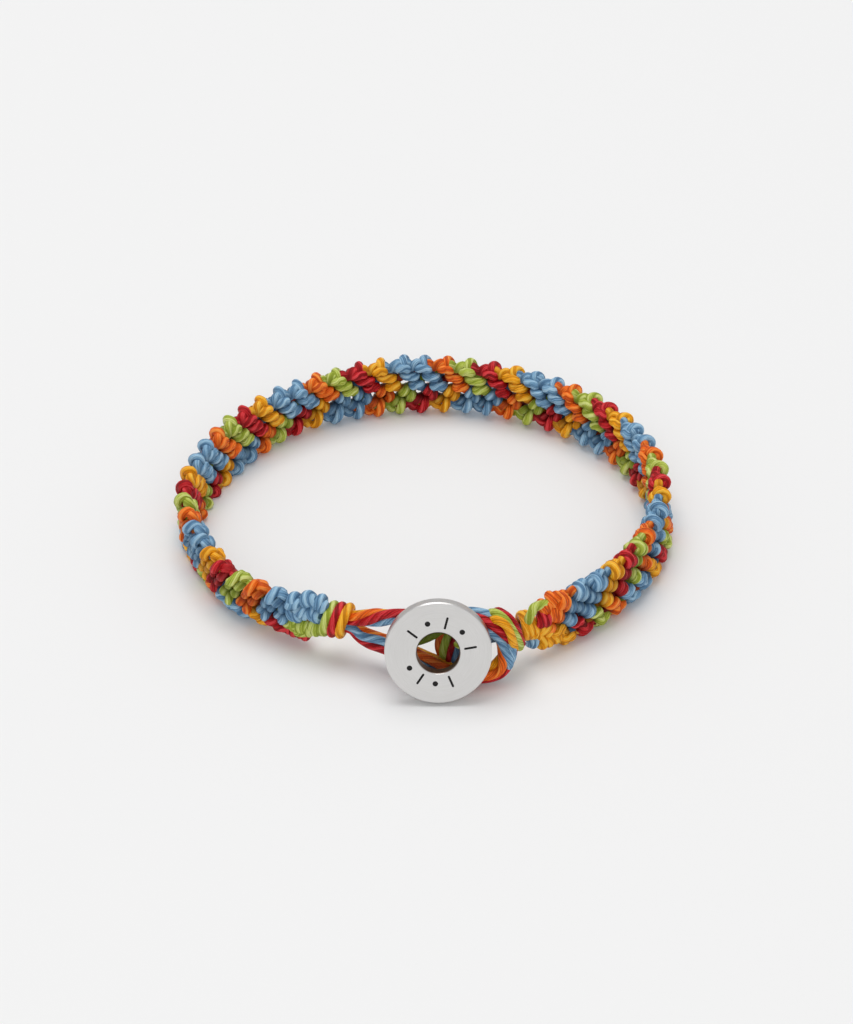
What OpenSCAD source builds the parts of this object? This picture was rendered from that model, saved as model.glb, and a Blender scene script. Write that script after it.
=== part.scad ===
// Knotted cord bracelet with a steel button clasp, closed and standing on its edge.
// Millimetres, +Z up. The origin is on the surface below the middle of the ring.
// The button is at the front, towards -Y.

/* [Band] */
// Height of the band, edge to edge
band_height = 7.7; // [5.5:0.1:9]
// Thickness of the band over its knots
band_thickness = 3.4; // [2.6:0.1:4]
// Length along the band of one row of knots
row_pitch = 2.815; // [2.6:0.005:2.84]
// Rows of knots
row_count = 51; // [12:1:51]
// How far a row runs back from its point at mid height to its two edges
row_slant = 3.4; // [2:0.1:4]
// Distance along the ring from the front to the first row's point
first_row = 17.5; // [17.4:0.1:18.5]

/* [Cord] */
// Diameter of the waxed cord
cord_d = 0.95; // [0.8:0.05:1]
// Diameter of the cord bundle in the loop that holds the button
loop_bundle_d = 1.8; // [1.4:0.1:1.9]
// Diameter of the cord bundle in the neck that carries the button
neck_bundle_d = 1.8; // [1.2:0.1:1.8]
// Coils in the binding at the root of the loop
loop_coils = 3; // [2:1:3]
// Coils in the binding on the neck
neck_coils = 2; // [1:1:2]

/* [Button] */
// Outer diameter of the steel button
button_d = 12; // [11:0.1:12.2]
// Thickness of the steel button
button_t = 1.5; // [1.2:0.1:1.6]
// Diameter of the hole through the button
button_hole_d = 4.8; // [4:0.1:5]
// Bevel round the edges of the button
button_bevel = 0.12; // [0.05:0.01:0.2]
// Angle that the button leans back from upright
button_lean = 16; // [14:0.5:17]
// Diameter of the wire in the button's shank
shank_wire_d = 0.9; // [0.7:0.05:0.9]
// Depth of the engraved marks
mark_depth = 0.12; // [0.05:0.01:0.2]

/* [Hidden] */

// The ring in plan: angle clockwise from the front, radius, height of the band above its
// rest, and how far the band's top edge leans outward in degrees
RING = [
    [17, 26.4, 1.4, 0],
    [24, 26.5, 1.2, 4],
    [32, 26.8, 0.8, 10],
    [44, 27.1, 0.3, 15],
    [60, 27.5, 0, 14],
    [90, 27.8, 0, 7],
    [120, 27.3, 0, 1],
    [150, 27.2, 0, 1],
    [180, 27.2, 0, 1],
    [210, 27.3, 0, 1],
    [240, 27.9, 0, 0],
    [270, 27.8, 0, -5],
    [300, 27.2, 0, -2],
    [326, 27.2, 0, -1],
    [340, 27.3, 0.4, 0]
];
RING_START_S = 7.8;
RING_STEPS = 12;
RING_PROBE_S = 0.4;

// Half of the band's section: share of the half height, share of the half thickness
// on the crest of a row, and the same in the valley between two rows
SECTION = [
    [0, 1, 0.72],
    [0.2, 0.86, 0.64],
    [0.4, 1, 0.72],
    [0.58, 0.86, 0.62],
    [0.8, 0.86, 0.58]
];
EDGE_VALLEY = 0.9;
HALF_WAY_CREST = 0.55;
RINGS_PER_ROW = 4;
LEAD_IN_ROWS = 2;
LEAD_OUT_ROWS = 0.5;
V_OPENS_OVER = 1.5;
END_TAPER = 3.5;
END_HEIGHT = 0.55;
END_THICKNESS = 0.75;

// Route of the loop's bundle, from the binding over the top, round the neck and back,
// with the share of the bundle's diameter at each point
LOOP_ROUTE = [
    [-9.8, -24.5, 5.7, 0.5],
    [-8.3, -25.1, 5.78, 0.52],
    [-5.6, -26.7, 7, 1],
    [-2.9, -28.2, 8.4, 1],
    [1.5, -28.6, 8.8, 1],
    [5.6, -28.5, 8.5, 1],
    [8.2, -28.3, 7.4, 1],
    [9.7, -28.4, 5.4, 1],
    [9.5, -28.9, 3.2, 1],
    [7.8, -29.6, 1.6, 1],
    [4.8, -29.8, 1.2, 1],
    [1.6, -29.1, 2, 1],
    [-1.4, -28.2, 3.4, 1],
    [-4.6, -26.9, 3.6, 1.1],
    [-7, -25.6, 4, 0.85],
    [-8.3, -25.1, 4.6, 0.52],
    [-9.8, -24.5, 4.62, 0.5]
];

// Route of the neck's bundle, from the band's end through the binding and round the shank
NECK_ROUTE = [
    [10.6, -25.1, 4.2, 0.7],
    [9.5, -25.6, 4.25, 0.7],
    [8.2, -26.4, 4.5, 1],
    [6.6, -27, 4.7, 0.95],
    [5, -27.25, 4.75, 0.75],
    [3.7, -27.9, 4.95, 0.62],
    [3.75, -29.2, 5.3, 0.58],
    [5, -29.8, 5.5, 0.5]
];
TUBE_SIDES = 10;
TUBE_STEPS = 3;
// A direction that no route runs along, to turn the tube's sections by
TUBE_ACROSS = [0, 1, 0.35];

// Share of a coil's cord that is joined to the next coil behind its round
COIL_BACK = 0.6;
loop_binding_s = 10.3;
loop_binding_bore_d = 2.1;
neck_binding_s = 160.8;
neck_binding_bore_d = 1.5;

button_x = 1.3;
button_y = -32.3;
shank_offset = 3.6;
shank_reach = 2.4;
shank_half_length = 1.15;
shank_root = 0.4;

mark_radius = 3.65;
mark_length = 1.2;
mark_w = 0.26;
mark_dot_d = 0.62;
// Arcs of marks: angle of the first mark clockwise from the top, step to the next, how many
MARK_ARCS = [
    [-52, 33, 5],
    [157, 28, 4]
];

$fn = 64;

half_height = band_height / 2;
half_thickness = band_thickness / 2;
button_z = button_d / 2 * cos(button_lean) + button_t * sin(button_lean);
band_start_s = first_row - LEAD_IN_ROWS * row_pitch;
band_end_s = first_row + (row_count - 1 + LEAD_OUT_ROWS) * row_pitch;
ring_gap_s = row_pitch / RINGS_PER_ROW;
ring_total = (LEAD_IN_ROWS + row_count - 1 + LEAD_OUT_ROWS) * RINGS_PER_ROW;

function polar(row) = [-row[1] * sin(row[0]), -row[1] * cos(row[0]), row[2], row[3]];

function catmull(a, b, c, d, t) =
    0.5 * (2 * b + (c - a) * t + (2 * a - 5 * b + 4 * c - d) * t * t
    + (3 * b - 3 * c + d - a) * t * t * t);

// A smooth line through the points, with the same number of steps in each span
function smooth(p, steps) = [
    for (i = [0 : len(p) - 2], k = [0 : steps - 1])
        catmull(
            i > 0 ? p[i - 1] : 2 * p[0] - p[1],
            p[i],
            p[i + 1],
            i < len(p) - 2 ? p[i + 2] : 2 * p[i + 1] - p[i],
            k / steps
        ),
    p[len(p) - 1]
];

function in_plan(p) = [p[0], p[1]];

// Length in plan along a line up to each of its points
function lengths(p, start) = [
    for (
        i = 0, s = start;
        i < len(p);
        i = i + 1, s = s + (i < len(p) ? norm(in_plan(p[i]) - in_plan(p[i - 1])) : 0)
    ) s
];

function column(s, p, axis) = [for (i = [0 : len(p) - 1]) [s[i], p[i][axis]]];

ring_line = smooth([for (row = RING) polar(row)], RING_STEPS);
ring_s = lengths(ring_line, RING_START_S);
ring_x = column(ring_s, ring_line, 0);
ring_y = column(ring_s, ring_line, 1);
ring_lift = column(ring_s, ring_line, 2);
ring_lean = column(ring_s, ring_line, 3);

function ring_point(s) = [lookup(s, ring_x), lookup(s, ring_y)];
function ring_along(s) = 
    let (d = ring_point(s + RING_PROBE_S) - ring_point(s - RING_PROBE_S)) d / norm(d);
function ring_outward(s) = let (t = ring_along(s)) [-t[1], t[0]];
function ring_height(s) =
    half_height * cos(lookup(s, ring_lean)) + max(0, lookup(s, ring_lift));

function clamp01(v) = max(0, min(1, v));
function ease(v) = let (c = clamp01(v)) c * c * (3 - 2 * c);
function blend(a, b, v) = a + (b - a) * v;

// Full size in the middle of the band, and smaller near its two ends
function end_share(s, least) =
    blend(least, 1, ease(min(s - band_start_s, band_end_s - s) / END_TAPER));

// A point on the band: place along the ring, side (+1 outward), share of the half height
// and share of the half thickness. The section leans outward with its top.
function band_point(s, side, up, thick) =
    let (
        p = ring_point(s),
        n = ring_outward(s),
        lean = lookup(s, ring_lean),
        across = side * thick * half_thickness * end_share(s, END_THICKNESS),
        rise = up * half_height * end_share(s, END_HEIGHT),
        out = across * cos(lean) + rise * sin(lean)
    )
    [p[0] + n[0] * out, p[1] + n[1] * out,
     ring_height(s) - across * sin(lean) + rise * cos(lean)];

// Where on the ring a point at a share of the half height lies, on the V that has its
// point at s. The V flattens out at the two ends.
function slanted(s, up) =
    let (open = clamp01(min(s - band_start_s, band_end_s - s) / (V_OPENS_OVER * row_slant)))
    s - row_slant * open * abs(up);

function crest(i) = (i % RINGS_PER_ROW == (LEAD_IN_ROWS * RINGS_PER_ROW) % RINGS_PER_ROW) ? 1
    : (abs(i - LEAD_IN_ROWS * RINGS_PER_ROW) % 2 == 1) ? HALF_WAY_CREST
    : 0;

function section_point(s, i, row, up_sign, side) =
    band_point(
        slanted(s, row[0]),
        side,
        up_sign * row[0],
        blend(row[2], row[1], crest(i))
    );

function edge_point(s, i, up_sign) =
    band_point(slanted(s, 1), 1, up_sign * blend(EDGE_VALLEY, 1, crest(i)), 0);

// One ring of the band's surface: up the outer face, over the top, down the inner face
function band_ring(i) =
    let (s = band_start_s + i * ring_gap_s, last = len(SECTION) - 1)
    concat(
        [for (j = [last : -1 : 0]) section_point(s, i, SECTION[j], -1, 1)],
        [for (j = [1 : last]) section_point(s, i, SECTION[j], 1, 1)],
        [edge_point(s, i, 1)],
        [for (j = [last : -1 : 0]) section_point(s, i, SECTION[j], 1, -1)],
        [for (j = [1 : last]) section_point(s, i, SECTION[j], -1, -1)],
        [edge_point(s, i, -1)]
    );

// A closed solid through rings that have the same number of points
module skin(rings) {
    n = len(rings[0]);
    m = len(rings);
    polyhedron(
        points = [for (r = rings) each r],
        faces = concat(
            [[for (j = [0 : n - 1]) j]],
            [for (i = [0 : m - 2], j = [0 : n - 1])
                let (a = i * n + j, b = i * n + (j + 1) % n) [a, a + n, b]],
            [for (i = [0 : m - 2], j = [0 : n - 1])
                let (a = i * n + j, b = i * n + (j + 1) % n) [b, a + n, b + n]],
            [[for (j = [n - 1 : -1 : 0]) (m - 1) * n + j]]
        ),
        convexity = 10
    );
}

// A round tube along a route whose rows are x, y, z and the share of its diameter
module bundle(route, d) {
    line = smooth(route, TUBE_STEPS);
    last = len(line) - 1;
    function place(i) = [line[i][0], line[i][1], line[i][2]];
    function along(i) =
        let (v = place(min(i + 1, last)) - place(max(i - 1, 0))) v / norm(v);
    function across(i) =
        let (v = cross(along(i), TUBE_ACROSS)) v / norm(v);
    function tube_ring(i) =
        let (u = across(i), w = cross(along(i), u))
        [for (k = [0 : TUBE_SIDES - 1])
            let (a = 360 * k / TUBE_SIDES)
            place(i) + line[i][3] * d / 2 * (u * cos(a) + w * sin(a))];
    skin([for (i = [0 : last]) tube_ring(i)]);
}

// Coils of one cord side by side round a bore
module coils(count, bore_d) {
    rotate_extrude()
        difference() {
            union() {
                for (k = [0 : count - 1])
                    translate([bore_d / 2 + cord_d / 2, (k + 0.5 - count / 2) * cord_d])
                        circle(d = cord_d);
                translate([bore_d / 2, -count * cord_d / 2 + cord_d / 4])
                    square([cord_d * COIL_BACK, count * cord_d - cord_d / 2]);
            }
            translate([0, -count * cord_d])
                square([bore_d / 2, 2 * count * cord_d]);
        }
}

// Turns a piece made on the Z axis so that it lies along the band at s
module on_ring(s) {
    t = ring_along(s);
    p = ring_point(s);
    translate([p[0], p[1], ring_height(s)])
        rotate([0, 90, atan2(t[1], t[0])])
            children();
}

module mark(angle, round_mark) {
    rotate([0, 0, angle])
        translate([0, -mark_radius, 0])
            if (round_mark)
                cylinder(d = mark_dot_d, h = mark_depth * 2, center = true);
            else {
                cube([mark_w, mark_length, mark_depth * 2], center = true);
                for (end = [-1, 1])
                    translate([0, end * mark_length / 2, 0])
                        cylinder(d = mark_w, h = mark_depth * 2, center = true);
            }
}

module button_disc() {
    difference() {
        rotate_extrude()
            polygon([
                [button_hole_d / 2, button_bevel],
                [button_hole_d / 2 + button_bevel, 0],
                [button_d / 2 - button_bevel, 0],
                [button_d / 2, button_bevel],
                [button_d / 2, button_t - button_bevel],
                [button_d / 2 - button_bevel, button_t],
                [button_hole_d / 2 + button_bevel, button_t],
                [button_hole_d / 2, button_t - button_bevel]
            ]);
        for (arc = MARK_ARCS, k = [0 : arc[2] - 1])
            mark(arc[0] + k * arc[1], k % 2 == 1);
    }
}

module shank() {
    translate([shank_offset, 0, button_t + shank_reach])
        rotate([90, 0, 0])
            cylinder(d = shank_wire_d, h = 2 * shank_half_length, center = true);
    for (end = [-1, 1])
        translate([shank_offset, end * shank_half_length, 0]) {
            translate([0, 0, button_t - shank_root])
                cylinder(d = shank_wire_d, h = shank_reach + shank_root);
            translate([0, 0, button_t + shank_reach])
                sphere(d = shank_wire_d);
        }
}

module knotted_band()
    color("orange")
        skin([for (i = [0 : ring_total]) band_ring(i)]);

module loop_binding()
    color("gold")
        on_ring(loop_binding_s)
            coils(loop_coils, loop_binding_bore_d);

module button_loop()
    color("steelblue")
        bundle(LOOP_ROUTE, loop_bundle_d);

module neck_binding()
    color("gold")
        on_ring(neck_binding_s)
            coils(neck_coils, neck_binding_bore_d);

module button_neck()
    color("yellowgreen")
        bundle(NECK_ROUTE, neck_bundle_d);

module steel_button()
    color("silver")
        translate([button_x, button_y, button_z])
            rotate([-90 - button_lean, 0, 0]) {
                button_disc();
                shank();
            }

knotted_band();
loop_binding();
button_loop();
neck_binding();
button_neck();
steel_button();
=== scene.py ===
import math

import bpy
import numpy as np
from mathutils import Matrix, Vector


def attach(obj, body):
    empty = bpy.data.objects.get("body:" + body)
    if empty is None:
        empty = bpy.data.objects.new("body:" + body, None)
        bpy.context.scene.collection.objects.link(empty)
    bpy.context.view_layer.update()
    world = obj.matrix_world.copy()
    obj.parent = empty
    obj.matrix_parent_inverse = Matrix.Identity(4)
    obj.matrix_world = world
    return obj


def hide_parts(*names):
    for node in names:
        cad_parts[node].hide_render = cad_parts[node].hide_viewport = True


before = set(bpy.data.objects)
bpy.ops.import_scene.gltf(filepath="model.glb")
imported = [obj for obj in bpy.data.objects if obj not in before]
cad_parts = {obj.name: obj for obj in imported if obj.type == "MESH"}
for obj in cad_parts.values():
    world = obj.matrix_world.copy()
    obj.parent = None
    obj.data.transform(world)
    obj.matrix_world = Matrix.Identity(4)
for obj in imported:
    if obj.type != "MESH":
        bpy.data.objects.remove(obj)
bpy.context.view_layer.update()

# Knotted band
# Six waxed cords are knotted round one another in 51 rows of double half hitches. In each row
# the outer cord of each side is wound twice round the next two cords on its way in, and the
# two meet in a knot in the middle, which makes the points of the chevron.
MM = 0.001
CORD_D = 1.0
# A cord comes back to its place after as many rows as there are cords
CORD_COUNT = 6
ROWS = 51
ROW_PITCH = 2.815
REPEAT = CORD_COUNT * ROW_PITCH
# Where the middle knot of the first row lies along the band
FIRST_ROW = 17.08
# From knot to knot of a row: along, on the upper and on the lower side, and up
KNOT_STEP = {1: 0.95, -1: 1.2}
KNOT_RISE = 1.3
# The edge's knot is the second from the middle
EDGE_KNOT = 2
BAND_HEIGHT = 7.7
# The knots stand out further than the drawn line
KNOT_DEPTH = 1.2
# The band's way round the ring: angle clockwise from the front, radius, lift, outward lean in degrees
RING = [
    (17, 26.4, 1.4, 0), (24, 26.5, 1.2, 4), (32, 26.8, 0.8, 10), (44, 27.1, 0.6, 15),
    (60, 27.7, 0.2, 14), (90, 28.4, 0, 8), (120, 27.3, 0, 1), (150, 27.2, 0, 1),
    (180, 27.2, 0, 1), (210, 27.3, 0, 1), (240, 27.9, 0, 0), (270, 27.8, 0, -5),
    (300, 27.2, 0, -2), (326, 27.2, 0, -1), (340, 27.3, 0.4, 0),
]
# Where the ring's first point lies along the band
RING_START = 7.8
RING_STEPS = 12
# The band's direction is read between points this far before and behind
RING_REACH = 0.4


def smooth_line(points, steps):
    """A Catmull-Rom line through the points, with the same number of steps in each span."""
    p = np.asarray(points, float)
    p = np.vstack([2 * p[0] - p[1], p, 2 * p[-1] - p[-2]])
    t = np.linspace(0, 1, steps, endpoint=False)[:, None]
    spans = [
        0.5 * (2 * b + (c - a) * t + (2 * a - 5 * b + 4 * c - d) * t**2 + (3 * b - 3 * c + d - a) * t**3)
        for a, b, c, d in zip(p, p[1:], p[2:], p[3:])
    ]
    return np.vstack(spans + [p[-2][None]])


def unit(v):
    return np.asarray(v, float) / np.linalg.norm(v)


ring_corners = [
    (-radius * math.sin(math.radians(angle)), -radius * math.cos(math.radians(angle)), lift, lean)
    for angle, radius, lift, lean in RING
]
ring_line = smooth_line(ring_corners, RING_STEPS)
ring_lengths = np.linalg.norm(np.diff(ring_line[:, :2], axis=0), axis=1)
ring_along = RING_START + np.r_[0, np.cumsum(ring_lengths)]


def ring_at(along, column):
    """One column of the ring's line at places along the band: x, y, lift or lean."""
    return np.interp(along, ring_along, ring_line[:, column])


def on_ring(places):
    """Points of the standing ring, from places along, up and outward on the band, all in millimetres."""
    along, up, out = np.asarray(places, float).T
    x, y, lift = ring_at(along, 0), ring_at(along, 1), ring_at(along, 2)
    lean = np.radians(ring_at(along, 3))
    ahead = np.c_[
        ring_at(along + RING_REACH, 0) - ring_at(along - RING_REACH, 0),
        ring_at(along + RING_REACH, 1) - ring_at(along - RING_REACH, 1),
    ]
    ahead /= np.linalg.norm(ahead, axis=1)[:, None]
    outward = out * np.cos(lean) + up * np.sin(lean)
    middle = BAND_HEIGHT / 2 * np.cos(lean) + np.maximum(0, lift)
    height = middle - out * np.sin(lean) + up * np.cos(lean)
    return np.c_[x - ahead[:, 1] * outward, y + ahead[:, 0] * outward, height]


# A double half hitch: along the row, along the cord that it is wound on, outward, and girth
HITCH = [
    (-0.5, 0, -0.35, 0.4), (0, -0.15, -0.45, 0.4), (0.4, -0.48, -0.5, 0.8), (0.45, -0.58, 0, 1.08),
    (0.3, -0.58, 0.5, 1.2), (0, -0.58, 0.75, 1.3), (-0.3, -0.58, 0.5, 1.2), (-0.45, -0.58, 0, 1.08),
    (-0.4, -0.58, -0.6, 1.2), (-0.24, -0.36, -0.85, 1.25), (-0.08, -0.1, -0.6, 0.45),
    (0.08, 0.1, -0.6, 0.45), (0.24, 0.36, -0.85, 1.25), (0.4, 0.58, -0.6, 1.2), (0.45, 0.58, 0, 1.08),
    (0.3, 0.58, 0.5, 1.2), (0, 0.58, 0.75, 1.3), (-0.3, 0.58, 0.5, 1.2), (-0.45, 0.58, 0, 1.08),
    (-0.4, 0.48, -0.5, 0.8), (0, 0.15, -0.45, 0.4), (0.5, 0, -0.35, 0.4),
]
# A cord that another is wound on
CORE = [(0, -0.5, 0, 0.45), (0, 0, 0, 0.45), (0, 0.5, 0, 0.45)]
# The turn at the edge: share of a row, rise, outward, girth. It sinks in between two lumps
EDGE_TURN = [
    (0.2, 0.3, 0.1, 1.2), (0.34, 0, -0.3, 0.5), (0.5, -0.4, -0.5, 0.3), (0.66, 0, -0.3, 0.5),
    (0.8, 0.3, 0.1, 1.2),
]
# One cord's way through six rows: knots out from the middle, row, side, and what it does there
WAY = [
    (2, 0, 1, HITCH), (1, 0, 1, HITCH), (0, 0, 1, HITCH),
    (1, 1, -1, CORE), (2, 2, -1, CORE), (3, 2, -1, EDGE_TURN),
    (2, 3, -1, HITCH), (1, 3, -1, HITCH), (0, 3, -1, CORE),
    (1, 4, 1, CORE), (2, 5, 1, CORE), (3, 5, 1, EDGE_TURN),
]


def drawn_cord():
    """One cord's way through one repeat before it is pulled tight: along, up, outward, girth."""
    points = []
    for out, row, side, form in WAY:
        step = KNOT_STEP[side]
        if form is EDGE_TURN:
            for share, rise, outward, girth in EDGE_TURN:
                along = (row + share) * ROW_PITCH - EDGE_KNOT * step
                points.append((along, side * (EDGE_KNOT * KNOT_RISE + rise), outward, girth))
            continue
        row_way = unit((step, -side * KNOT_RISE))
        core_way = unit((ROW_PITCH - step, side * KNOT_RISE))
        if out == 0:
            # In the middle knot the cords of the two sides meet
            upper = unit((KNOT_STEP[1], -KNOT_RISE))
            lower = unit((ROW_PITCH - KNOT_STEP[-1], -KNOT_RISE))
            row_way = unit(upper + lower)
            core_way = row_way * (1, -1)
        knot = np.array((row * ROW_PITCH - out * step, side * out * KNOT_RISE))
        # The lower side is knotted facing inward
        for along, core, outward, girth in form:
            points.append((*(knot + row_way * along + core_way * core), outward * side, girth))
    return np.array(points)


drawn = drawn_cord()
WAY_POINTS = len(drawn)
# The fifth column is the place on the way
drawn = np.c_[drawn, np.arange(WAY_POINTS)]
ONE_REPEAT = np.array((REPEAT, 0, 0, 0, WAY_POINTS))
# Neighbours are looked for up to this many rows away and within this many thicknesses. A cord is
# not its own neighbour within the third number. They are looked for anew after some turns
NEAR_ROWS = 8
NEAR = 1.5
OWN_NEAR = 1.6
LOOK_EVERY = 10


def evenly(line, count):
    """The closed repeat with its points the same distance apart."""
    closed = np.vstack([line, line[:1] + ONE_REPEAT])
    gone = np.r_[0, np.cumsum(np.linalg.norm(np.diff(closed[:, :3], axis=0), axis=1))]
    want = np.linspace(0, gone[-1], count + 1)[:-1]
    return np.stack([np.interp(want, gone, column) for column in closed.T], axis=1)


def near_pairs(points, reach, skip):
    """Pairs of near points of the cord and its neighbours, each of which lies a row further on."""
    found = []
    for rows in range(-NEAR_ROWS, NEAR_ROWS + 1):
        neighbour = points + (rows * ROW_PITCH, 0, 0)
        i, j = np.nonzero(((points[:, None] - neighbour[None]) ** 2).sum(-1) < reach * reach)
        if rows % CORD_COUNT == 0:
            keep = np.abs(j + rows // CORD_COUNT * len(points) - i) > skip
            i, j = i[keep], j[keep]
        found.append(np.stack([i, j, np.full(len(i), rows)], axis=1))
    return np.concatenate(found)


# Shares by which a point is drawn towards the middle of its neighbours on the cord, and back to
# where it was drawn: along, up and outward
PULL = 0.08
HOLD = (0.06, 0.06, 0.03)
# How far cords that press on each other give way at once, also where several press, and how often
# they do in one turn
PRESS = 0.9
MOST_PRESSES = 1.6
PRESSES = 3
# Gaps that are left between the knots of every row: along, up, half width. They slope down outward
GAPS = [(ROW_PITCH / 2 + 0.05, 0.2, 0.9), (0.05, -1.35, 0.82)]
GAP_SLOPE = 0.35
GAP_PRESS = 0.45
# Keeps a division by a distance of nothing away
LEAST = 1e-6


def draw_tight(line, thickness, rounds):
    """Pulls the cord tight while it and its neighbours keep their thickness and the gaps stay open."""
    start = line.copy()
    repeat_on = ONE_REPEAT[:3]
    for turn in range(rounds):
        if turn % LOOK_EVERY == 0:
            step = np.linalg.norm(np.diff(line[:, :3], axis=0), axis=1).mean()
            skip = math.ceil(OWN_NEAR * thickness / step)
            i, j, rows = near_pairs(line[:, :3], thickness * NEAR, skip).T
        x = line[:, :3]
        before = np.vstack([x[-1:] - repeat_on, x[:-1]])
        after = np.vstack([x[1:], x[:1] + repeat_on])
        x = x + PULL * (before + after - 2 * x)
        x += (start[:, :3] - x) * HOLD
        room = thickness * 0.5 * (line[i, 3] + line[j, 3])
        for _ in range(PRESSES):
            apart = x[i] - x[j] - rows[:, None] * (ROW_PITCH, 0, 0)
            distance = np.maximum(np.linalg.norm(apart, axis=1), LEAST)
            hit = distance < room
            push = np.zeros_like(x)
            count = np.zeros(len(x))
            np.add.at(push, i[hit], apart[hit] * (0.5 * (room - distance)[hit] / distance[hit])[:, None])
            np.add.at(count, i[hit], 1)
            share = PRESS * np.clip(count, 1, MOST_PRESSES) / np.maximum(count, 1)
            x = x + push * share[:, None]
            for along, up, half in GAPS:
                off_along = (x[:, 0] - along + ROW_PITCH / 2) % ROW_PITCH - ROW_PITCH / 2
                off = np.c_[off_along, x[:, 1] - up + GAP_SLOPE * x[:, 2]]
                far = np.maximum(np.linalg.norm(off, axis=1), LEAST)
                x[:, :2] += off * (GAP_PRESS * np.maximum(0, half - far) / far)[:, None]
        line[:, :3] = x
    return line


DRAWN_STEPS = 8
REPEAT_POINTS = 420
PULLING_TURNS = 100
rounded = smooth_line(np.vstack([drawn, drawn[:1] + ONE_REPEAT]), DRAWN_STEPS)[:-1]
repeat = evenly(rounded, REPEAT_POINTS)
# The cords take on their thickness little by little
for thickness in (0.3, 0.45, 0.6, 0.66):
    repeat = draw_tight(repeat, thickness, PULLING_TURNS)
repeat[:, 2] *= KNOT_DEPTH

# How far a cord is knotted: the row that its repeat is counted from and the step of the way that it
# starts after, and the same for the far end
CORDS = {
    "blue_first": (0, -1, 48, 4), "blue_second": (1, -3, 49, 3), "orange": (2, -4, 50, 2),
    "green": (-3, 5, 45, 10), "red": (-2, 3, 46, 9), "yellow": (-1, 2, 47, 8),
}
FINISHES = {
    "blue_first": "cord_blue", "blue_second": "cord_blue", "orange": "cord_orange",
    "green": "cord_green", "red": "cord_red", "yellow": "cord_yellow",
}
LOOP_BINDING_AT = 10.3
NECK_BINDING_AT = 160.8
# Seat of each cord in a binding: up and outward
SEATS = {
    "blue_first": (0.55, 0.3), "blue_second": (0.1, 0.6), "orange": (0.35, -0.45),
    "green": (-0.55, 0.3), "red": (-0.4, -0.45), "yellow": (0, 0),
}
# Where a cord passes between its last knot and the neck's binding: along, up, outward, girth
LEAD_OUT = {
    "green": [
        (159.3, 3.4, 0.5, 1.2), (160.0, 3.1, 0.8, 1.4), (160.4, 2.3, 0.9, 1.4), (160.5, 1.3, 0.6, 1.1),
    ],
    "blue_first": [(160.0, -1.2, 0.5, 1.2)],
}
LEAD_STEPS = 10
# How far the points of the chevron lie below the middle of the band and stand out: along, down, out
POINTS = [
    (14, 0.3, 0.1), (20, 1.3, 0.3), (46, 1.3, 0.3), (60, 0.2, 0.2), (74, -0.4, 0), (125, -0.4, 0),
    (140, 0, 0.1),
]
# How the band narrows towards its ends: along, share of the height
TAPER = [
    (10.3, 0.65), (12, 0.66), (14.3, 0.73), (17, 0.8), (20, 0.82), (25, 0.85), (31, 0.94),
    (148, 0.94), (153, 0.95), (157, 0.92), (160.8, 0.9),
]
HALF_BAND = 3.6
# Depths between which the painted shade on the cords fades out
SHADE_FADE_FROM = 0.33
SHADE_FADE_OVER = 0.42
form_ends = np.cumsum([len(form) for _, _, _, form in WAY]) - 0.5


def knotted(cord):
    """The cord's whole way through the band."""
    row_a, step_a, row_b, step_b = CORDS[cord]
    line = np.vstack([repeat + ONE_REPEAT * k for k in range(-1, ROWS // CORD_COUNT + 2)])
    place_a = form_ends[step_a] - WAY_POINTS * (step_a < 0)
    # The place at the far end is counted in whole repeats from the first
    place_b = form_ends[step_b] + (row_b - row_a) // CORD_COUNT * WAY_POINTS
    line = line[(line[:, 4] >= place_a) & (line[:, 4] <= place_b)]
    return line[:, :4] + (FIRST_ROW + row_a * ROW_PITCH, 0, 0, 0)


def band_cord(cord):
    """A cord from binding to binding: along, up, outward, girth, and how far it lies out of the painted
    shade.
    """
    body = knotted(cord)
    up, out = SEATS[cord]
    # Its ends run on under the bindings
    head = [(LOOP_BINDING_AT - 0.6, up, out, 1), (LOOP_BINDING_AT + 0.9, up * 1.05, out, 1)]
    tail = [(NECK_BINDING_AT + past, up * 0.6, out * 0.6, 1) for past in (-0.4, 0.6)]
    head = smooth_line([*head, body[0], body[1]], LEAD_STEPS)[: 2 * LEAD_STEPS]
    tail = smooth_line([body[-2], body[-1], *LEAD_OUT.get(cord, []), *tail], LEAD_STEPS)[LEAD_STEPS + 1 :]
    path = np.vstack([head, body, tail])
    from_middle = (path[:, 1] / HALF_BAND) ** 2
    # Painted shade: a cord keeps its colour where it lies at a face or an edge of the band and is painted
    # darker deep inside the knots, where shade falls
    unshaded = np.clip((np.maximum(np.abs(path[:, 2]), from_middle) - SHADE_FADE_FROM) / SHADE_FADE_OVER, 0, 1)
    along, drop, bulge = np.transpose(POINTS)
    middle = np.clip(1 - from_middle, 0, 1)
    path[:, 2] += (middle - 0.5) * np.interp(path[:, 0], along, bulge)
    path[:, 1] -= middle * np.interp(path[:, 0], along, drop)
    path[:, 1] *= np.interp(path[:, 0], *zip(*TAPER))
    return np.c_[path, unshaded]


# The unevenness of hand knotting is made of waves: length along the band, size
WAVES = [(4.3, 0.1), (2.3, 0.07), (9.0, 0.08)]
WAVES_OF_A_LENGTH = 4
WAVE_SEED = 7


def by_hand(places):
    """Shifts places a little, as hand knotting does, and alike for cords that lie together."""
    rng = np.random.default_rng(WAVE_SEED)
    off = np.zeros_like(places)
    for length, size in WAVES:
        for _ in range(WAVES_OF_A_LENGTH):
            across = unit(rng.normal(size=2)) * 2 * math.pi / length
            shift = size * unit(rng.normal(size=3))
            off += shift * np.sin(places[:, :2] @ across + rng.uniform(0, 2 * math.pi))[:, None]
    return places + off


def set_inputs(tree, node, inputs):
    """Sets a node's inputs by name or number, each to a value or to the output of another node."""
    for key, value in inputs.items():
        if isinstance(value, bpy.types.NodeSocket):
            tree.links.new(value, node.inputs[key])
        else:
            node.inputs[key].default_value = value


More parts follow.
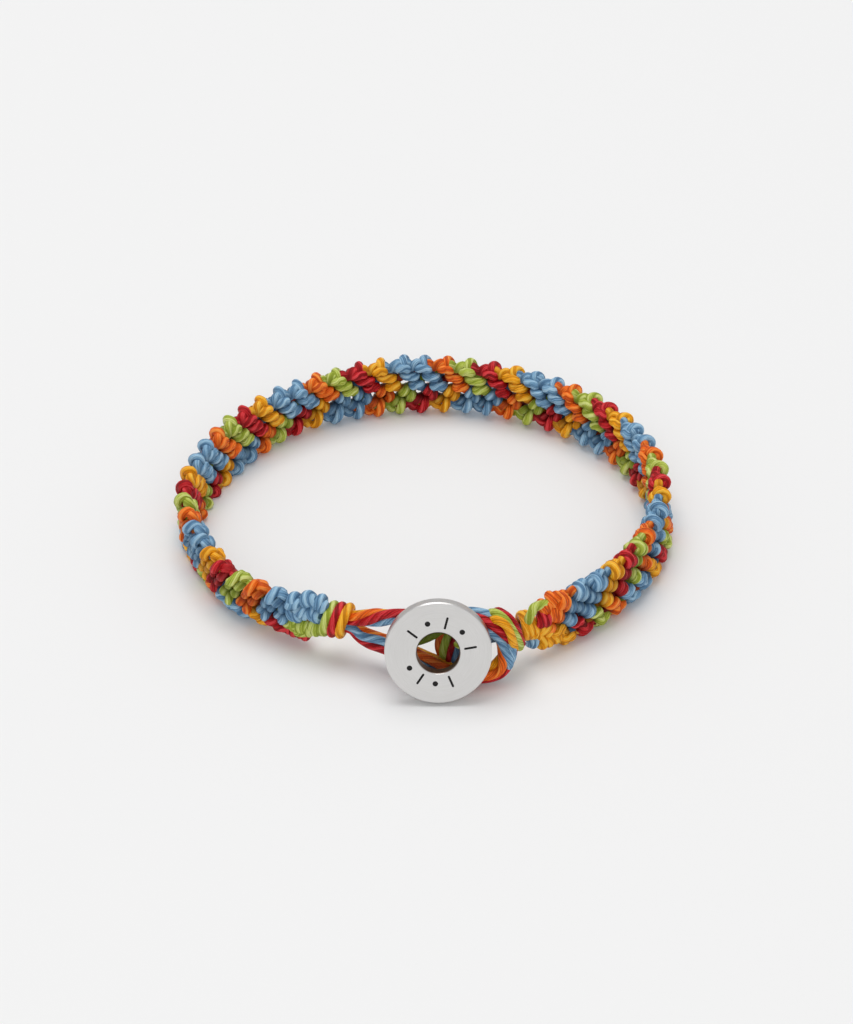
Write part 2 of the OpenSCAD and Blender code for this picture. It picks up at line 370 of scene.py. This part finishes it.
def add_node(tree, kind, inputs=None, **settings):
    """Adds a node with its settings, and then its inputs, some of which its settings make."""
    node = tree.nodes.new(kind)
    for name, value in settings.items():
        setattr(node, name, value)
    set_inputs(tree, node, inputs or {})
    return node


def maths(tree, operation, *values):
    """The result of one calculation with values and other nodes' outputs."""
    return add_node(tree, "ShaderNodeMath", dict(enumerate(values)), operation=operation).outputs[0]


def cord_sweep():
    """Geometry Nodes: sweeps a round section along a path and stores where each point lies in the lay."""
    tree = bpy.data.node_groups.new("Cord", "GeometryNodeTree")
    for name, kind in (
        ("Path", "NodeSocketGeometry"), ("Cord Diameter", "NodeSocketFloat"), ("Sides", "NodeSocketInt"),
        ("Lay Length", "NodeSocketFloat"), ("Material", "NodeSocketMaterial"),
    ):
        tree.interface.new_socket(name=name, in_out="INPUT", socket_type=kind)
    tree.interface.new_socket(name="Cord", in_out="OUTPUT", socket_type="NodeSocketGeometry")
    given = add_node(tree, "NodeGroupInput").outputs
    curve = add_node(tree, "GeometryNodeMeshToCurve", {"Mesh": given["Path"]})
    girth = add_node(tree, "GeometryNodeInputNamedAttribute", {"Name": "girth"}, data_type="FLOAT")
    sized = add_node(tree, "GeometryNodeSetCurveRadius", {
        "Curve": curve.outputs[0], "Radius": girth.outputs["Attribute"],
    })
    # The length gone along the cord and the place on the section are kept through the sweep
    kept = add_node(tree, "GeometryNodeCaptureAttribute")
    kept.capture_items.new("FLOAT", "Gone")
    gone = add_node(tree, "GeometryNodeSplineParameter")
    set_inputs(tree, kept, {"Geometry": sized.outputs[0], "Gone": gone.outputs["Length"]})
    half = maths(tree, "MULTIPLY", given["Cord Diameter"], 0.5)
    circle = add_node(tree, "GeometryNodeCurvePrimitiveCircle", {
        "Resolution": given["Sides"], "Radius": half,
    })
    rim = add_node(tree, "GeometryNodeCaptureAttribute")
    rim.capture_items.new("VECTOR", "Rim")
    place = add_node(tree, "GeometryNodeInputPosition")
    set_inputs(tree, rim, {"Geometry": circle.outputs[0], "Rim": place.outputs[0]})
    sweep = add_node(tree, "GeometryNodeCurveToMesh", {
        "Curve": kept.outputs["Geometry"], "Profile Curve": rim.outputs["Geometry"], "Fill Caps": True,
    })
    turns = maths(tree, "DIVIDE", kept.outputs["Gone"], given["Lay Length"])
    angle = maths(tree, "MULTIPLY", turns, 2 * math.pi)
    spun = add_node(tree, "ShaderNodeVectorRotate", {
        "Vector": rim.outputs["Rim"], "Angle": angle,
    }, rotation_type="Z_AXIS")
    ahead = add_node(tree, "ShaderNodeCombineXYZ", {"Z": kept.outputs["Gone"]})
    lay = add_node(tree, "ShaderNodeVectorMath", {0: spun.outputs[0], 1: ahead.outputs[0]}, operation="ADD")
    stored = add_node(tree, "GeometryNodeStoreNamedAttribute", {
        "Geometry": sweep.outputs[0], "Name": "lay", "Value": lay.outputs[0],
    }, data_type="FLOAT_VECTOR", domain="POINT")
    smooth = add_node(tree, "GeometryNodeSetShadeSmooth", {"Geometry": stored.outputs[0]})
    real = add_node(tree, "GeometryNodeRealizeInstances", {"Geometry": smooth.outputs[0]})
    dyed = add_node(tree, "GeometryNodeSetMaterial", {
        "Geometry": real.outputs[0], "Material": given["Material"],
    })
    add_node(tree, "NodeGroupOutput", {"Cord": dyed.outputs[0]})
    return tree


CORD_SWEEP = cord_sweep()
# The plies go once round the cord in this length
LAY_LENGTH = 6.0


def make_cord(name, path, material, diameter, girth=None, unshaded=None, sides=12):
    """A mesh cord along a path, in millimetres, with its girth and its share out of the painted shade at
    each point.
    """
    mesh = bpy.data.meshes.new(name)
    mesh.from_pydata((path * MM).tolist(), [(k, k + 1) for k in range(len(path) - 1)], [])
    for key, value in (("girth", girth), ("unshaded", unshaded)):
        column = mesh.attributes.new(key, "FLOAT", "POINT")
        column.data.foreach_set("value", np.ones(len(path)) if value is None else value)
    cord = bpy.data.objects.new(name, mesh)
    bpy.context.scene.collection.objects.link(cord)
    sweep = cord.modifiers.new("cord", "NODES")
    sweep.node_group = CORD_SWEEP
    values = {
        "Cord Diameter": diameter * MM, "Sides": sides, "Lay Length": LAY_LENGTH * MM, "Material": material,
    }
    for item in CORD_SWEEP.interface.items_tree:
        if item.name in values and item.in_out == "INPUT":
            sweep[item.identifier] = values[item.name]
    evaluated = cord.evaluated_get(bpy.context.evaluated_depsgraph_get())
    swept = bpy.data.meshes.new_from_object(evaluated)
    cord.modifiers.remove(sweep)
    cord.data = swept
    return cord


def map_range(tree, value, start, end, low=0.0, high=1.0):
    """Low where the value is at the start, high where it is at the end, and held beyond them."""
    inputs = {"Value": value, "From Min": start, "From Max": end, "To Min": low, "To Max": high}
    return add_node(tree, "ShaderNodeMapRange", inputs).outputs[0]


def mix_colours(tree, share, first, second):
    """The second colour over the first. The node takes colours at 6 and 7 and gives one out at 2."""
    return add_node(tree, "ShaderNodeMix", {0: share, 6: first, 7: second}, data_type="RGBA").outputs[2]


def noise(tree, place, scale, detail, roughness=0.5):
    inputs = {"Vector": place, "Scale": scale, "Detail": detail, "Roughness": roughness}
    return add_node(tree, "ShaderNodeTexNoise", inputs).outputs["Fac"]


def waxed_cord():
    """Shader group: the tone, gloss and relief of a twisted, waxed cord."""
    group = bpy.data.node_groups.new("Waxed cord", "ShaderNodeTree")
    for name, kind in (
        ("Dye", "NodeSocketColor"), ("Shade", "NodeSocketColor"), ("Light", "NodeSocketColor"),
        ("Wax", "NodeSocketFloat"),
    ):
        group.interface.new_socket(name=name, in_out="INPUT", socket_type=kind)
    for name, kind in (
        ("Colour", "NodeSocketColor"), ("Roughness", "NodeSocketFloat"), ("Height", "NodeSocketFloat"),
    ):
        group.interface.new_socket(name=name, in_out="OUTPUT", socket_type=kind)
    given = add_node(group, "NodeGroupInput").outputs
    lay = add_node(group, "ShaderNodeAttribute", attribute_name="lay").outputs["Vector"]
    # Fine fibres run along the lay. The noise is quick round the cord and slow along it, per metre
    fibre_place = add_node(group, "ShaderNodeMapping", {"Vector": lay, "Scale": (6500, 6500, 480)})
    fibres = noise(group, fibre_place.outputs[0], 1.0, 3.0, 0.6)
    # The three plies that the cord is twisted from: x (x x - 3 y y) rises and falls three times a turn
    ply_place = add_node(group, "ShaderNodeMapping", {"Vector": lay, "Scale": (2000, 2000, 0)})
    across = add_node(group, "ShaderNodeSeparateXYZ", {0: ply_place.outputs[0]}).outputs
    xx = maths(group, "MULTIPLY", across["X"], across["X"])
    yy = maths(group, "MULTIPLY", across["Y"], across["Y"])
    plies = maths(group, "MULTIPLY", across["X"], maths(group, "MULTIPLY_ADD", yy, -3.0, xx))
    tone = maths(group, "MULTIPLY_ADD", plies, 0.1, fibres)
    # Dye is thin on the highest fibres and thick between them. Where the stored share out of shade is low,
    # the colour is darkened towards a dark copy of the shade colour, a painted shade deep in the knots and
    # behind the button
    between = map_range(group, tone, 0.51, 0.36, high=0.75)
    highest = map_range(group, tone, 0.5, 0.66, high=0.8)
    unshaded_share = add_node(group, "ShaderNodeAttribute", attribute_name="unshaded").outputs["Fac"]
    painted_shade_share = map_range(group, unshaded_share, 0.0, 1.0, 0.95, 0.0)
    painted_shade_colour = mix_colours(group, 0.45, given["Shade"], (0, 0, 0, 1))
    colour = mix_colours(group, between, given["Dye"], given["Shade"])
    colour = mix_colours(group, highest, colour, given["Light"])
    colour = mix_colours(group, painted_shade_share, colour, painted_shade_colour)
    # Wax lies unevenly over a few millimetres
    where = add_node(group, "ShaderNodeTexCoord").outputs["Object"]
    patches = noise(group, where, 420.0, 2.0)
    wax = maths(group, "ADD", map_range(group, patches, 0.3, 0.7, -0.1, 0.14), given["Wax"])
    height = maths(group, "MULTIPLY_ADD", plies, 0.35, fibres)
    add_node(group, "NodeGroupOutput", {"Colour": colour, "Roughness": wax, "Height": height})
    return group


WAXED_CORD = waxed_cord()
# Dye, its shade between the fibres and its lightest fibres
DYES = {
    "cord_blue": ((0.19, 0.375, 0.57), (0.045, 0.12, 0.24), (0.44, 0.66, 0.82)),
    "cord_orange": ((0.93, 0.144, 0.004), (0.38, 0.04, 0.001), (1.0, 0.38, 0.07)),
    "cord_green": ((0.463, 0.547, 0.07), (0.19, 0.25, 0.008), (0.74, 0.8, 0.3)),
    "cord_red": ((0.494, 0.003, 0.008), (0.15, 0.0, 0.001), (0.85, 0.07, 0.08)),
    "cord_yellow": ((0.95, 0.374, 0.002), (0.42, 0.14, 0.0), (1.0, 0.62, 0.08)),
}


def cord_material(slot):
    """The finish of a cord of one dye."""
    dye, shade, light = DYES[slot]
    material = bpy.data.materials.new(slot)
    material.use_nodes = True
    tree = material.node_tree
    colours = {"Dye": (*dye, 1), "Shade": (*shade, 1), "Light": (*light, 1), "Wax": 0.46}
    cord = add_node(tree, "ShaderNodeGroup", colours, node_tree=WAXED_CORD).outputs
    bump = add_node(tree, "ShaderNodeBump", {
        "Height": cord["Height"], "Strength": 0.9, "Distance": 0.00016,
    })
    set_inputs(tree, tree.nodes["Principled BSDF"], {
        "Base Color": cord["Colour"], "Roughness": cord["Roughness"], "Normal": bump.outputs["Normal"],
        "Specular IOR Level": 0.2,
    })
    return material


MATERIALS = {slot: cord_material(slot) for slot in DYES}

for cord in CORDS:
    path = band_cord(cord)
    piece = make_cord(
        "band_cord_" + cord, on_ring(by_hand(path[:, :3])), MATERIALS[FINISHES[cord]], CORD_D * 1.08,
        girth=path[:, 3], unshaded=path[:, 4],
    )
    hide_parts("knotted_band")
    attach(piece, "root")

# End turns
# The last hitches before each binding take in all the cords and are less even than the rest.
# Each is a small turn of cord, drawn in at both of its ends.
END_TURN_CORD_D = 1.15
END_TURN_POINTS = 36
END_TURN_START = 0.6
# At its ends a turn is drawn in to this share, and it is flatter outward than it is high
DRAWN_IN = 0.4
END_TURN_FLAT = 0.9
# Dye, along, up, outward, reach, turns, length and lean in degrees
END_TURNS = [
    ("cord_blue", 12.1, 2.3, 0.1, 0.6, 1.4, 0.9, 20), ("cord_blue", 13.6, 2.7, 0, 0.6, 1.4, 0.9, -15),
    ("cord_blue", 12.7, 0.7, 0.35, 0.6, 1.4, 0.9, -10), ("cord_blue", 14.2, 0.9, 0.3, 0.6, 1.4, 0.9, 25),
    ("cord_blue", 15.2, 2.2, 0.1, 0.6, 1.4, 0.9, 10), ("cord_blue", 15.4, 0.1, 0.4, 0.6, 1.4, 0.9, -20),
    ("cord_green", 12.5, -1.2, 0.3, 0.65, 2.2, 1.3, 0), ("cord_green", 13.9, -1.6, 0.3, 0.6, 1.6, 1.0, 10),
    ("cord_green", 15.4, -1.5, 0.4, 0.6, 1.4, 1.0, -10), ("cord_red", 14.6, -2.7, 0.1, 0.6, 1.6, 1.2, 0),
    ("cord_red", 16.3, -2.7, 0.2, 0.6, 1.4, 1.0, 0), ("cord_red", 158.8, 1.5, 0.6, 0.55, 1.4, 0.9, 0),
    ("cord_orange", 158.3, 2.5, 0.1, 0.55, 1.4, 0.9, -20),
    ("cord_orange", 156.9, 3.0, 0, 0.6, 1.5, 1.0, -30),
    ("cord_orange", 157.0, 1.7, 0.3, 0.6, 1.4, 0.9, 10),
    ("cord_orange", 155.6, 2.4, 0.2, 0.6, 1.4, 0.9, 20),
    ("cord_yellow", 159.3, 0.4, 0.3, 0.6, 1.4, 0.9, -10),
    ("cord_yellow", 159.3, -0.9, 0.2, 0.6, 1.4, 0.9, 15),
    ("cord_yellow", 158.3, -2.0, 0.2, 0.65, 1.5, 1.0, -20),
    ("cord_yellow", 157.9, -0.5, 0.4, 0.65, 1.5, 1.0, 25),
    ("cord_yellow", 156.8, -1.8, 0.3, 0.6, 1.4, 0.9, -10),
    ("cord_blue", 159.8, -1.7, 0.3, 0.45, 1.4, 0.7, 0),
]
for number, (slot, along, up, out, reach, turns, length, lean) in enumerate(END_TURNS):
    around = np.linspace(0, 2 * math.pi * turns, int(END_TURN_POINTS * turns))
    ahead = length * (around / around[-1] - 0.5)
    opened = np.sin(np.linspace(0, math.pi, len(around))) ** 0.5
    radius = reach * (DRAWN_IN + (1 - DRAWN_IN) * opened)
    rise = radius * np.cos(around + END_TURN_START)
    lean = math.radians(lean)
    turn = np.c_[
        along + ahead * math.cos(lean) - rise * math.sin(lean),
        up + ahead * math.sin(lean) + rise * math.cos(lean),
        out + radius * END_TURN_FLAT * np.sin(around + END_TURN_START),
    ]
    piece = make_cord(f"end_turns_{number}", on_ring(by_hand(turn)), MATERIALS[slot], END_TURN_CORD_D)
    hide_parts("knotted_band")
    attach(piece, "root")

# Loop binding
# Three turns of cord, one of each of three colours, hold the cords together where the loop
# leaves the band. Their ends are pulled back under the turns.
COIL_RADIUS = 1.6
COIL_CORD_D = 1.1
COIL_LEAN = math.tan(math.radians(11))
COIL_TURNS = 1.12
COIL_START = math.radians(200)
COIL_POINTS = 60
# How far a turn moves on along the band in half a turn
COIL_ADVANCE = 0.12
# From this share of the way out to each end, the cord goes down by this share of the radius
TUCK_FROM = 0.86
TUCK = 0.35
around = np.linspace(0, 2 * math.pi * COIL_TURNS, COIL_POINTS)
for place, colour in ((0.95, "green"), (0, "red"), (-0.95, "yellow")):
    slot = "cord_" + colour
    along = LOOP_BINDING_AT + place + COIL_ADVANCE * (around / math.pi - 1)
    near_end = np.abs(around / around[-1] - 0.5) * 2
    radius = COIL_RADIUS * (1 - TUCK * np.clip(near_end - TUCK_FROM, 0, 1) / (1 - TUCK_FROM))
    rise = radius * np.cos(around + COIL_START)
    turn = np.c_[along - rise * COIL_LEAN, rise, radius * np.sin(around + COIL_START)]
    piece = make_cord("loop_coil_" + colour, on_ring(turn), MATERIALS[slot], COIL_CORD_D, sides=14)
    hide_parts("loop_binding")
    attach(piece, "root")

# Button loop
# Five of the cords run on from the band round the button's neck and back, twisted together.
# The bundle is thin at its root and opens where it goes round the neck.
LOOP_CORD_D = 1.05
LOOP_CORD_OFFSET = 0.66
# The bundle's route: x, y, z and how far its cords lie apart
LOOP_ROUTE = [
    (-9.8, -24.5, 5.7, 0.5), (-8.3, -25.1, 5.78, 0.52), (-5.6, -26.7, 7, 0.85), (-2.9, -28.2, 8.35, 0.6),
    (1.5, -28.5, 8, 1.3), (5.5, -28.5, 8, 1.4), (7.8, -28.5, 7.1, 1.4), (8.9, -28.5, 5.3, 1.05),
    (9, -28.9, 3.4, 0.95), (7.9, -29.5, 1.8, 1), (5, -29.8, 1.4, 1), (1.6, -29.2, 2.0, 1),
    (-1.4, -28.3, 2.9, 1), (-4.6, -26.9, 3.35, 1.1), (-7, -25.6, 3.65, 0.85), (-8.3, -25.1, 4.5, 0.52),
    (-9.8, -24.5, 4.62, 0.5),
]
ROUTE_STEPS = 12
# How far each cord is turned round the bundle, in degrees, at places along the route: 0 faces the
# front, 90 is outside
LOOP_PLACES = [0, 1.5, 2.6, 5, 6, 6.8, 7.5, 8, 8.4, 8.8, 9.3, 10, 11.5, 13, 14, 15, 16]
LOOP_TURNS = {
    "orange": [0, 20, 200, 220, 220, 235, 265, 310, 355, 385, 395, 380, 330, 300, 300, 290, 280],
    "yellow": [90, 90, 160, 160, 160, 170, 185, 195, 240, 285, 300, 280, 240, 240, 240, 220, 210],
    "blue_first": [180, 180, 235, 75, 60, 55, 45, 70, 130, 190, 215, 210, 190, 180, 180, 165, 150],
    "blue_second": [235, 235, 260, 290, 290, 300, 325, 375, 440, 515, 560, 510, 445, 320, 375, 375, 360],
    "red": [-90, -60, 55, 20, -20, 20, 90, 105, 115, 105, 100, 140, 110, 35, 110, 95, 85],
}
# Behind the button's hole the lower leg's cords are painted darker, a painted shade where the button shades
# them
HOLE_X = 1.5
HOLE_HALF = 2.6
HOLE_TOP = 5.5
HOLE_PAINTED_SHADE = 0.75
# The photograph looks down at the bracelet by this angle
ELEVATION = math.radians(34.74)
EVENED_OVER = 5


def in_bundle(route, places, turns, offset):
    """A cord that lies round the middle of a bundle, at angles that are set at places along its route."""
    line = smooth_line(route, ROUTE_STEPS)
    ahead = np.gradient(line[:, :3], axis=0)
    ahead /= np.linalg.norm(ahead, axis=1)[:, None]
    outer = np.cross((0, -math.cos(ELEVATION), math.sin(ELEVATION)), ahead)
    outer /= np.linalg.norm(outer, axis=1)[:, None]
    front = np.cross(ahead, outer)
    angle = np.radians(np.interp(np.arange(len(line)) / ROUTE_STEPS, places, turns))
    # The turns are evened out over a few points to each side
    count = 2 * EVENED_OVER + 1
    padded = np.pad(angle, EVENED_OVER, mode="edge")
    angle = np.convolve(padded, np.ones(count) / count, mode="valid")[:, None]
    reach = offset * line[:, 3:4]
    return line[:, :3] + reach * (front * np.cos(angle) + outer * np.sin(angle))


for cord, turns in LOOP_TURNS.items():
    path = in_bundle(LOOP_ROUTE, LOOP_PLACES, turns, LOOP_CORD_OFFSET)
    # Painted shade on the cords that lie behind the button's hole
    near_hole = np.exp(-(((path[:, 0] - HOLE_X) / HOLE_HALF) ** 2))
    behind_hole = near_hole * (path[:, 2] < HOLE_TOP)
    unshaded = 1 - HOLE_PAINTED_SHADE * behind_hole
    piece = make_cord("loop_cord_" + cord, path, MATERIALS[FINISHES[cord]], LOOP_CORD_D, unshaded=unshaded)
    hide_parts("button_loop")
    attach(piece, "root")

# Neck binding
# Two turns of one cord hold together the cord ends that carry the button, close to the band's end.
# The coil sits a little above the band's middle and is a little higher than it is thick.
NECK_COIL_CORD_D = 1.1
NECK_COIL_TURNS = 2.1
NECK_COIL_POINTS = 100
NECK_COIL_START = 2
NECK_COIL_FROM = NECK_BINDING_AT - 0.8
NECK_COIL_WIDTH = 1.0
NECK_COIL_UP = 0.5
NECK_COIL_HIGH = 1.25
NECK_COIL_THICK = 1.2
around = np.linspace(0, 2 * math.pi * NECK_COIL_TURNS, NECK_COIL_POINTS)
turn = np.c_[
    NECK_COIL_FROM + NECK_COIL_WIDTH * around / around[-1],
    NECK_COIL_UP + NECK_COIL_HIGH * np.cos(around + NECK_COIL_START),
    NECK_COIL_THICK * np.sin(around + NECK_COIL_START),
]
piece = make_cord("neck_coil", on_ring(turn), MATERIALS["cord_yellow"], NECK_COIL_CORD_D, sides=14)
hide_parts("neck_binding")
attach(piece, "root")

# Button neck
# The cord ends run from the band through the binding and round the button's shank. Three of them
# are laid over the loop, and five hang behind the button's hole.
NECK_CORD_D = 0.8
NECK_CORD_OFFSET = 0.5
# The bundle's route: x, y, z and how far its cords lie apart
NECK_ROUTE = [
    (10.6, -25.1, 4.2, 0.7), (9.5, -25.6, 4.25, 0.7), (8.2, -26.4, 4.5, 1), (6.6, -27, 4.7, 0.95),
    (5, -27.25, 4.75, 0.75), (3.7, -27.9, 4.95, 0.62), (3.75, -29.2, 5.3, 0.58), (5, -29.8, 5.5, 0.5),
]
NECK_PLACES = [0, 7]
NECK_TURNS = {"blue_first": [0, 200], "green": [120, 320], "red": [240, 440]}
for cord, turns in NECK_TURNS.items():
    path = in_bundle(NECK_ROUTE, NECK_PLACES, turns, NECK_CORD_OFFSET)
    piece = make_cord("neck_cord_" + cord, path, MATERIALS[FINISHES[cord]], NECK_CORD_D)
    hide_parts("button_neck")
    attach(piece, "root")
NECK_END_STEPS = 10
# The loose ends: dye, how far it lies out of the painted shade, and route. The ends behind the button are
# painted dark, a painted shade
NECK_ENDS = {
    "over_green": ("cord_green", 1, [
        (6.5, -27, 6.7), (7.2, -28, 8.6), (8, -28.8, 9), (8.8, -29.2, 8.5), (9.3, -29.3, 7.7),
        (9.8, -29.1, 6.6), (10.3, -28.6, 5.1), (10.5, -27.6, 3.6), (10.1, -26.7, 3.2),
    ]),
    "over_yellow": ("cord_yellow", 1, [
        (6.9, -27.6, 6.5), (7.5, -29, 8.4), (8.3, -29.8, 8.7), (9, -30, 8.1), (9.4, -29.8, 6.9),
        (9.7, -29.3, 5.5), (9.9, -28.4, 4.1), (9.9, -27.4, 3.4),
    ]),
    "over_red": ("cord_red", 1, [
        (7.2, -26.6, 6.7), (7.9, -27.3, 8.3), (8.8, -28.1, 8.4), (9.4, -28.3, 7.9), (9.9, -28.3, 7),
        (10.2, -28.1, 6), (10.5, -27.7, 4.7), (10.7, -27, 3.6),
    ]),
    "behind_green": ("cord_green", 0.25, [
        (4.2, -27.8, 7.6), (3, -28.2, 6.8), (2.3, -28.7, 5.6), (1.95, -29, 4.6), (1.9, -28.9, 3.6),
        (2.3, -28.4, 2.7),
    ]),
    "behind_red": ("cord_red", 0.25, [
        (4.6, -28, 7.3), (3.6, -28.4, 6.2), (3, -28.8, 4.9), (2.6, -28.9, 3.9), (2.55, -28.8, 2.8),
        (3, -28.4, 2.2),
    ]),
    "behind_blue": ("cord_blue", 0.25, [
        (5, -28.2, 7.2), (4.2, -28.7, 6.2), (3.7, -28.9, 5.3), (3.5, -29, 4.1), (3.2, -29, 2.8),
        (3.4, -28.6, 2),
    ]),
    "behind_orange": ("cord_orange", 0.25, [
        (3.8, -27.6, 7.9), (2.4, -27.9, 7.1), (1.6, -28.3, 5.7), (1.4, -28.6, 4.5), (1.6, -28.4, 3.4),
    ]),
    "behind_loop": ("cord_green", 0, [
        (4.2, -27.6, 7.5), (2.5, -28.1, 6.7), (1.3, -28.3, 6.1), (0.3, -28.5, 5.6), (-0.8, -28.5, 5.1),
        (-2.3, -28.1, 4.4), (-3.8, -27.2, 3.7),
    ]),
}
for name, (slot, unshaded_share, route) in NECK_ENDS.items():
    path = smooth_line(route, NECK_END_STEPS)
    piece = make_cord("neck_end_" + name, path, MATERIALS[slot], CORD_D, unshaded=np.full(len(path), unshaded_share))
    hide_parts("button_neck")
    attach(piece, "root")

# Steel button
# A turned disc of stainless steel with a hole in its middle, brushed round its axis, with
# engraved marks filled with black, and a wire shank behind.
BUTTON_AT = (1.3, -32.3, 6.181)
BUTTON_LEAN = 16
# The hole without the bevel round it
HOLE_RADIUS = 2.4
MARK_DEPTH = 0.12
# The marks lie between these radii
MARKS_FROM = 2.65
MARKS_TO = 5.6
steel = bpy.data.materials.new("steel")
steel.use_nodes = True
tree = steel.node_tree
# Coordinates of the turned disc, in millimetres: its front face lies at 0 and its back above
where = add_node(tree, "ShaderNodeTexCoord").outputs["Object"]
turned = add_node(tree, "ShaderNodeMapping", {
    "Vector": where, "Location": [c * MM for c in BUTTON_AT],
    "Rotation": (math.radians(-90 - BUTTON_LEAN), 0, 0), "Scale": (MM, MM, MM),
}, vector_type="TEXTURE").outputs[0]
disc = add_node(tree, "ShaderNodeSeparateXYZ", {0: turned}).outputs
flat = add_node(tree, "ShaderNodeCombineXYZ", {"X": disc["X"], "Y": disc["Y"]}).outputs[0]
radius = add_node(tree, "ShaderNodeVectorMath", {0: flat}, operation="LENGTH").outputs["Value"]
# Brushing: streaks that run round the axis, long round it and fine across
spoke = add_node(tree, "ShaderNodeVectorMath", {0: flat}, operation="NORMALIZE").outputs[0]
spoke = add_node(tree, "ShaderNodeVectorMath", {0: spoke, "Scale": 2.5}, operation="SCALE").outputs[0]
spoke = add_node(tree, "ShaderNodeSeparateXYZ", {0: spoke}).outputs
fine = maths(tree, "MULTIPLY", radius, 16.0)
streak = add_node(tree, "ShaderNodeCombineXYZ", {"X": spoke["X"], "Y": spoke["Y"], "Z": fine}).outputs[0]
brushed = noise(tree, streak, 1.0, 4.0, 0.65)
clouds = noise(tree, turned, 0.35, 3.0)
# The black filling lies below the face, down to the floor of the marks, and away from both rims
below = map_range(tree, disc["Z"], 0.015, 0.03)
above = map_range(tree, disc["Z"], MARK_DEPTH + 0.04, MARK_DEPTH + 0.03)
inside = map_range(tree, radius, MARKS_TO, MARKS_TO - 0.1)
outside = map_range(tree, radius, MARKS_FROM, MARKS_FROM + 0.05)
depth = maths(tree, "MULTIPLY", below, above)
belt = maths(tree, "MULTIPLY", inside, outside)
mark = maths(tree, "MULTIPLY", depth, belt)
bright = map_range(tree, brushed, 0.3, 0.7)
colour = mix_colours(tree, bright, (0.68, 0.67, 0.655, 1), (0.74, 0.73, 0.72, 1))
# The wall of the hole is painted dark brown, a painted reflection of the shaded cords behind the button
bore_painted_reflection = map_range(tree, radius, HOLE_RADIUS + 0.1, HOLE_RADIUS + 0.03)
colour = mix_colours(tree, bore_painted_reflection, colour, (0.17, 0.12, 0.09, 1))
colour = mix_colours(tree, mark, colour, (0.012, 0.011, 0.011, 1))
gloss = map_range(tree, clouds, 0.3, 0.7, 0.28, 0.4)
bump = add_node(tree, "ShaderNodeBump", {"Height": brushed, "Strength": 0.2, "Distance": 0.00001})
set_inputs(tree, tree.nodes["Principled BSDF"], {
    "Base Color": colour, "Metallic": map_range(tree, mark, 0.4, 0.6, 1.0, 0.0),
    "Roughness": maths(tree, "MULTIPLY_ADD", mark, 0.5, gloss), "Normal": bump.outputs["Normal"],
})
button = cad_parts["steel_button"]
button.data.materials.clear()
button.data.materials.append(steel)

# Studio
# A pale sweep of paper under soft light from above and a little from the front, and the camera
# of the photograph.
scene = bpy.context.scene
scene.view_settings.view_transform = "Standard"
FLOOR_REACH = 1.5
floor_corners = [(FLOOR_REACH * x, FLOOR_REACH * y, 0) for x, y in ((-1, -1), (1, -1), (1, 1), (-1, 1))]
floor_mesh = bpy.data.meshes.new("floor")
floor_mesh.from_pydata(floor_corners, [], [(0, 1, 2, 3)])
floor = bpy.data.objects.new("floor", floor_mesh)
scene.collection.objects.link(floor)
paper = bpy.data.materials.new("paper")
paper.use_nodes = True
set_inputs(paper.node_tree, paper.node_tree.nodes["Principled BSDF"], {
    "Base Color": (0.86, 0.86, 0.86, 1), "Roughness": 0.9,
})
floor_mesh.materials.append(paper)

world = bpy.data.worlds.new("studio")
scene.world = world
world.use_nodes = True
set_inputs(world.node_tree, world.node_tree.nodes["Background"], {"Color": (1, 1, 1, 1), "Strength": 0.55})


def soft_box(name, place, size, power):
    """A square light that faces the middle of the bracelet."""
    light = bpy.data.lights.new(name, "AREA")
    light.shape = "SQUARE"
    light.size = size
    light.energy = power
    lamp = bpy.data.objects.new(name, light)
    lamp.location = place
    lamp.rotation_euler = (-Vector(place)).to_track_quat("-Z", "Y").to_euler()
    scene.collection.objects.link(lamp)


soft_box("back_light", (-0.15, 0.35, 1.5), 1.1, 12.1)
soft_box("front_light", (0, -0.8, 0.45), 0.6, 1.3)

CAMERA_DISTANCE = 0.44
# The focal length and how far the view's middle lies above the ring's, in pixels of the photograph
FOCAL_PIXELS = 3684
VIEW_RISE = 21.5
IMAGE_HEIGHT = 1024
SENSOR = 36
camera_data = bpy.data.cameras.new("camera")
camera_data.sensor_width = SENSOR
camera_data.lens = FOCAL_PIXELS * SENSOR / IMAGE_HEIGHT
camera_data.clip_start = 0.01
camera = bpy.data.objects.new("camera", camera_data)
camera.location = (0, -CAMERA_DISTANCE * math.cos(ELEVATION), CAMERA_DISTANCE * math.sin(ELEVATION))
camera.rotation_euler = (math.pi / 2 - ELEVATION + math.atan(VIEW_RISE / FOCAL_PIXELS), 0, 0)
scene.collection.objects.link(camera)
scene.camera = camera
